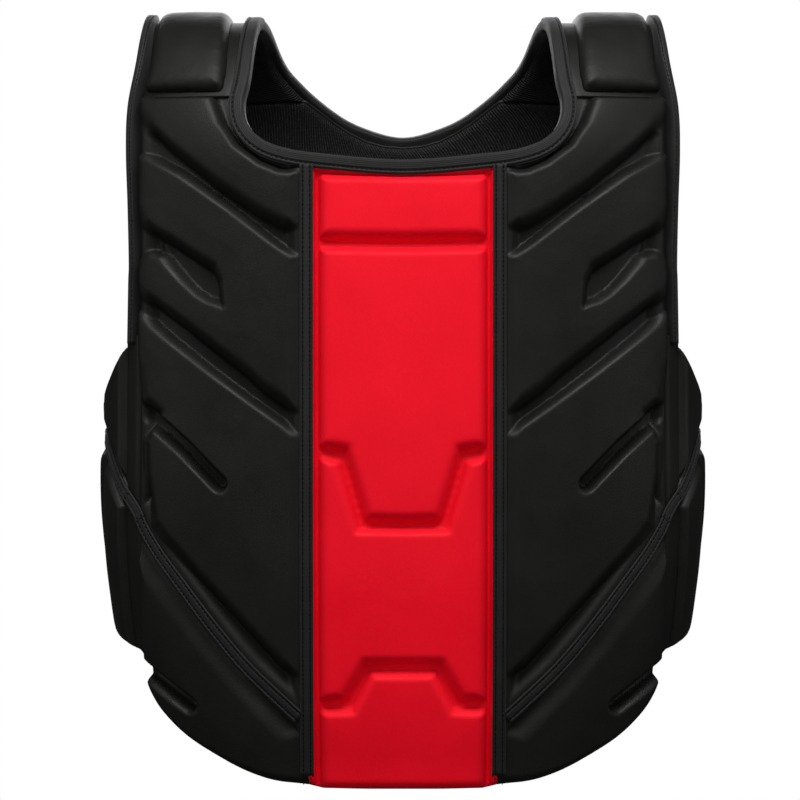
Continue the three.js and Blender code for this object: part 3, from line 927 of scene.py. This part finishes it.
def binding(name, path, width, side, low, high, body, replaces, mirror=False):
    """Tape folded over an edge, lying to one side of its path, with a raised lip and one stitch row."""
    row = side * width * 0.24
    profile = tape_profile(width, low, high, (row,), (row + side * 1.9,))
    middle = side * (width / 2 - 0.4)
    profile[:, 0] += middle
    obj = band(name, sheet, path, profile, 2.5, mirror)
    finish_piece(obj, TAPE_CLOTH, body, replaces)
    sewn(f"{name}_stitches", sheet, path, (row + middle,), high - 0.6, body, mirror)


binding("neck_binding_front", NECK_FRONT, 11.5, -1, -14.5, -3.8, "front", ["neck_binding_front"])
binding("neck_binding_back", NECK_BACK, 10.5, 1, -15.0, -5.0, "front", ["neck_binding_back"])
for side, mirror in SIDES:
    binding(f"armhole_binding_{side}", ARMHOLE, 7.4, 1, -14.5, -1.6, "front",
            [f"armhole_binding_{side}"], mirror)

# ---- Shoulders ----
STRAP_INNER = [*front([(134, 536), (128, 565)]), (120, SHOULDER_LINE),
               *back([(107, 590), (96, 573), (82, 558)])]
STRAP_OUTER = [*front([(210, 536), (203, 565)]), (199, SHOULDER_LINE),
               *back([(201, 590), (205, 573), (207, 547)])]
PAD_INNER = [*front([(139.5, 539), (137.5, 565)]), (136, SHOULDER_LINE), *back([(137, 572)])]
PAD_OUTER = [*front([(207.5, 539), (201, 565)]), (195.5, SHOULDER_LINE), *back([(197, 572)])]
for side, mirror in SIDES:
    strap = padded_shell(f"shoulder_strap_{side}", sheet, STRAP_INNER, STRAP_OUTER, level(-8.5),
                         {"low": 6, "high": 6}, -17.0, mirror, middle=-10.5)
    finish_piece(strap, BLACK, "front", [f"shoulder_strap_{side}"])
    lining(f"shoulder_lining_{side}", sheet, STRAP_INNER, STRAP_OUTER, "front", mirror=mirror)
    pad = padded_shell(f"shoulder_pad_{side}", sheet, PAD_INNER, PAD_OUTER,
                       edge_pillow(dict.fromkeys(ALL_SIDES, 0), 9, 1.0, -8.3),
                       inner=-11.5, mirror=mirror)
    inflated(pad, cap=5)
    finish_piece(pad, BLACK, "front", [f"shoulder_pad_{side}"])

# ---- Yoke and back panel ----
YOKE_LOWER = symmetric(back([(0, 472), (48, 472), (92, 472), (132, 473), (198, 500)]))
YOKE_UPPER = symmetric(back([(0, 517), (16, 518.5), (31, 523), (45, 530.5), (58, 539.5), (70, 549.5),
                             (82, 559), (98, 561), (206, 547)]))
yoke = padded_shell("yoke", sheet, YOKE_LOWER, YOKE_UPPER,
                    edge_pillow({"low": 3, "high": 9, "left": 6, "right": 6}, 12, 1.5),
                    {"low": 7}, smooth=(False, False))
finish_piece(yoke, BLACK, "front", ["yoke_cover", "yoke_pad"])
lining("yoke_lining", sheet, YOKE_LOWER, YOKE_UPPER, "front", ["yoke_lining"], smooth=(False, False))

BACK_EDGE = back([(60, 150), (78, 175), (80, 250), (88, 350), (100, 400), (118, 440), (125, BACK_TOP)])
BACK_OTHER = [(-x, q) for x, q in BACK_EDGE]
BACK_BLOCKS = [
    [(4, 456), (117, 456), (112, 440), (96, 404), (60, 388), (4, 372)],
    [(4, 360), (58, 376), (92, 390), (85, 350), (82, 318), (4, 296)],
    [(4, 288), (74, 306), (72, 254), (70, 201), (4, 201)],
    [(4, 194), (76, 194), (74, 178), (62, 158), (4, 158)],
]


def waist(places, margin):
    """A level strip's edges across the back at the waist, set in by a margin from the straps'."""
    return [back([(x, z) for x in places]) for z in (WAIST_LOW + margin, WAIST_HIGH - margin)]


def back_relief(s, q, sides):
    others = [[(-x, z) for x, z in outline] for outline in BACK_BLOCKS]
    blocks = [(back(outline), 3) for outline in BACK_BLOCKS + others]
    return block_relief(blocks, s, q, 8, 1.2)


back_panel = padded_shell("back_panel", sheet, BACK_OTHER, BACK_EDGE, back_relief,
                          {"low": 8, "high": 8, "left": 8, "right": 7})
finish_piece(back_panel, BLACK, "back_panel", ["back_cover", "back_pad"])
lining("back_lining", sheet, BACK_OTHER, BACK_EDGE, "back_panel", ["back_lining"])
thin("loop_field", sheet, *waist((-66, 66), -3), 0.4, 1.9, LOOP, "back_panel", "loop",
     ["loop_field"], smooth=(False, False))

FOLD_TOP, FOLD_BOTTOM = 482, 456  # the skin that the back panel hangs from
back_fold = padded_shell("back_fold", sheet, back([(-116, FOLD_BOTTOM), (116, FOLD_BOTTOM)]),
                         back([(-116, FOLD_TOP), (116, FOLD_TOP)]), level(-8.6), inner=-11,
                         smooth=(False, False))
finish_piece(back_fold, BLACK, None)
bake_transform(back_fold)


# ---- Wings ----
def angle_at(x, z):
    """The angle round the body where the surface at a height reaches a given x."""
    _, a, _ = section(np.array(float(z)))
    return math.degrees(math.asin((x / float(a)) ** (FULLNESS / 2)))


WING_TOP = [(angle_at(WING_EDGE, 347), 347), (67, 334), (74, 320), (84, 307), (105, 300),
            (WING_REAR, 294)]
WING_BOTTOM = [(angle_at(WING_EDGE - 5, 96), 96), (70, 100), (82, 106), (95, 122), (115, 140),
               (WING_REAR, 158)]
WING_SEAM = [(angle_at(WING_EDGE, 222), 222), (67, 241), (74, 258), (84, 269), (105, 276),
             (WING_REAR, 276)]
WING_SPLITS = (62, 118)           # upright grooves, from the wing's front edge


def wing_relief(seam_side):
    def relief(s, q, sides):
        margins = {"left": 2, "right": 4, "low": 0, "high": 0, seam_side: 8}
        distance = np.min([sides[name] - margin for name, margin in margins.items()], axis=0)
        for split in WING_SPLITS:
            distance = np.minimum(distance, np.abs(sides["left"] - split) - 4)
        rise, swell = pillow(distance, 11, 2.6)
        floor = seam_floor(sides[seam_side], 5, 6)
        return floor + rise * (swell - floor)
    return relief


WING_TAPE = [(t + 0.6, z) for t, z in WING_SEAM[:5]] + [(WING_REAR - 1, 276)]
REAR_EDGE = [(WING_REAR + 1.2, 160), (WING_REAR + 1.2, 220), (WING_REAR + 1.2, 292)]
DEGREES_PER_MM = 0.33         # along the wing at its strap anchor
ANCHOR_FRONT, ANCHOR_REAR = 113, WING_REAR + 2.6
ANCHOR_LOW = [(ANCHOR_FRONT, WAIST_LOW), (ANCHOR_REAR, WAIST_LOW)]
ANCHOR_HIGH = [(ANCHOR_FRONT, WAIST_HIGH), (ANCHOR_REAR, WAIST_HIGH)]
FOLD_FRONT = [(200, 100), (203, 160), (206, 220), (206, 280), (206, 350)]
FOLD_REAR = [(217, 104), (223, 160), (224, 220), (224, 280), (222, 344)]
FOLD_TAPE = [(206, 205), (FRONT_EDGE, 211), (213, 217), (217.5, 223), (220, 227)]


def fold_relief(s, q, sides):
    """A soft roll of skin between the front and a wing, tucked under both."""
    return -7.5 + 2.6 * smooth_step(np.minimum(sides["low"], sides["high"]) / 7)


for side, mirror in SIDES:
    body = f"wing_{side}"
    for part, low, high, seam_side, free in (
            ("upper", shifted(WING_SEAM, 0, 0.4), WING_TOP, "low", ("left", "right", "high")),
            ("lower", WING_BOTTOM, shifted(WING_SEAM, 0, -0.4), "high", ("left", "right", "low"))):
        wing = padded_shell(f"wing_{part}_{side}", wrap, low, high, wing_relief(seam_side),
                            dict.fromkeys(free, 7), mirror=mirror)
        replaced = [f"wing_pad_{part}_{side}"] + ([f"wing_cover_{side}"] if part == "upper" else [])
        finish_piece(wing, BLACK, body, replaced)
    lining(f"wing_lining_{side}", wrap, WING_BOTTOM, WING_TOP, body, [f"wing_lining_{side}"], mirror)
    tape = band(f"wing_tape_{side}", wrap, WING_TAPE, TAPE_PROFILE, 2.0, mirror)
    finish_piece(tape, TAPE_CLOTH, body, [f"wing_tape_{side}"])
    sewn(f"wing_tape_stitches_{side}", wrap, WING_TAPE, TAPE_ROWS, TAPE_STITCH, body, mirror)
    edge = band(f"wing_rear_binding_{side}", wrap, REAR_EDGE,
                tape_profile(8.4, -15.0, -4.0, (1.8,), (3.5,)), 2.5, mirror)
    finish_piece(edge, TAPE_CLOTH, body, [f"wing_rear_binding_{side}"])

    thin(f"strap_anchor_{side}", wrap, ANCHOR_LOW, ANCHOR_HIGH, 2.2, 5.6, BLACK, body, "black_skin",
         [f"strap_anchor_{side}"], mirror)
    for inset_mm in (4, 9):
        step = inset_mm * DEGREES_PER_MM
        fore, rear = ANCHOR_FRONT + step, ANCHOR_REAR - step
        low, high = WAIST_LOW + inset_mm, WAIST_HIGH - inset_mm
        corners = [(fore, low), (rear, low), (rear, high), (fore, high)]
        for k, (start, end) in enumerate(zip(corners, corners[1:] + corners[:1])):
            path = spline([start, end], np.linspace(0, 1, 5), False).tolist()
            sewn(f"anchor_stitches_{side}_{inset_mm}_{k}", wrap, path, (0,), 5.6, body, mirror)

    fold = padded_shell(f"fold_{side}", sheet, FOLD_FRONT, FOLD_REAR, fold_relief,
                        inner=lambda depth: depth - 2.5, mirror=mirror)
    finish_piece(fold, BLACK, None)
    bridge = band(f"fold_tape_{side}", sheet, FOLD_TAPE, TAPE_PROFILE, 1.5, mirror)
    finish_piece(bridge, TAPE_CLOTH, None)
    for piece in (fold, bridge):
        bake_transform(piece)

# ---- Closing straps ----
for side, mirror in SIDES:
    body = f"closing_strap_{side}"
    thin(f"elastic_strap_{side}", sheet, *waist((STRAP_ROOT, 90, STRAP_END), 0), 4, 5.8, ELASTIC,
         body, "elastic", [f"elastic_strap_{side}"], mirror, (False, False), ripple=0.25)
    root = thin(f"strap_root_{side}", sheet, *waist((179, 170, 158), 1), 3.3, 5.0, ELASTIC,
                None, "elastic", (), mirror, (False, False), ("low", "high"))
    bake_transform(root)
    thin(f"hook_pad_{side}", sheet, *waist((62, STRAP_END + 2), 2), 2.2, 3.5, HOOK,
         body, "hook", [f"hook_pad_{side}"], mirror, (False, False))
    thin(f"pull_tab_{side}", sheet, *waist((40, STRAP_END), 8), 6.2, 7.9, BLACK,
         body, "black_skin", [f"pull_tab_{side}"], mirror, (False, False))
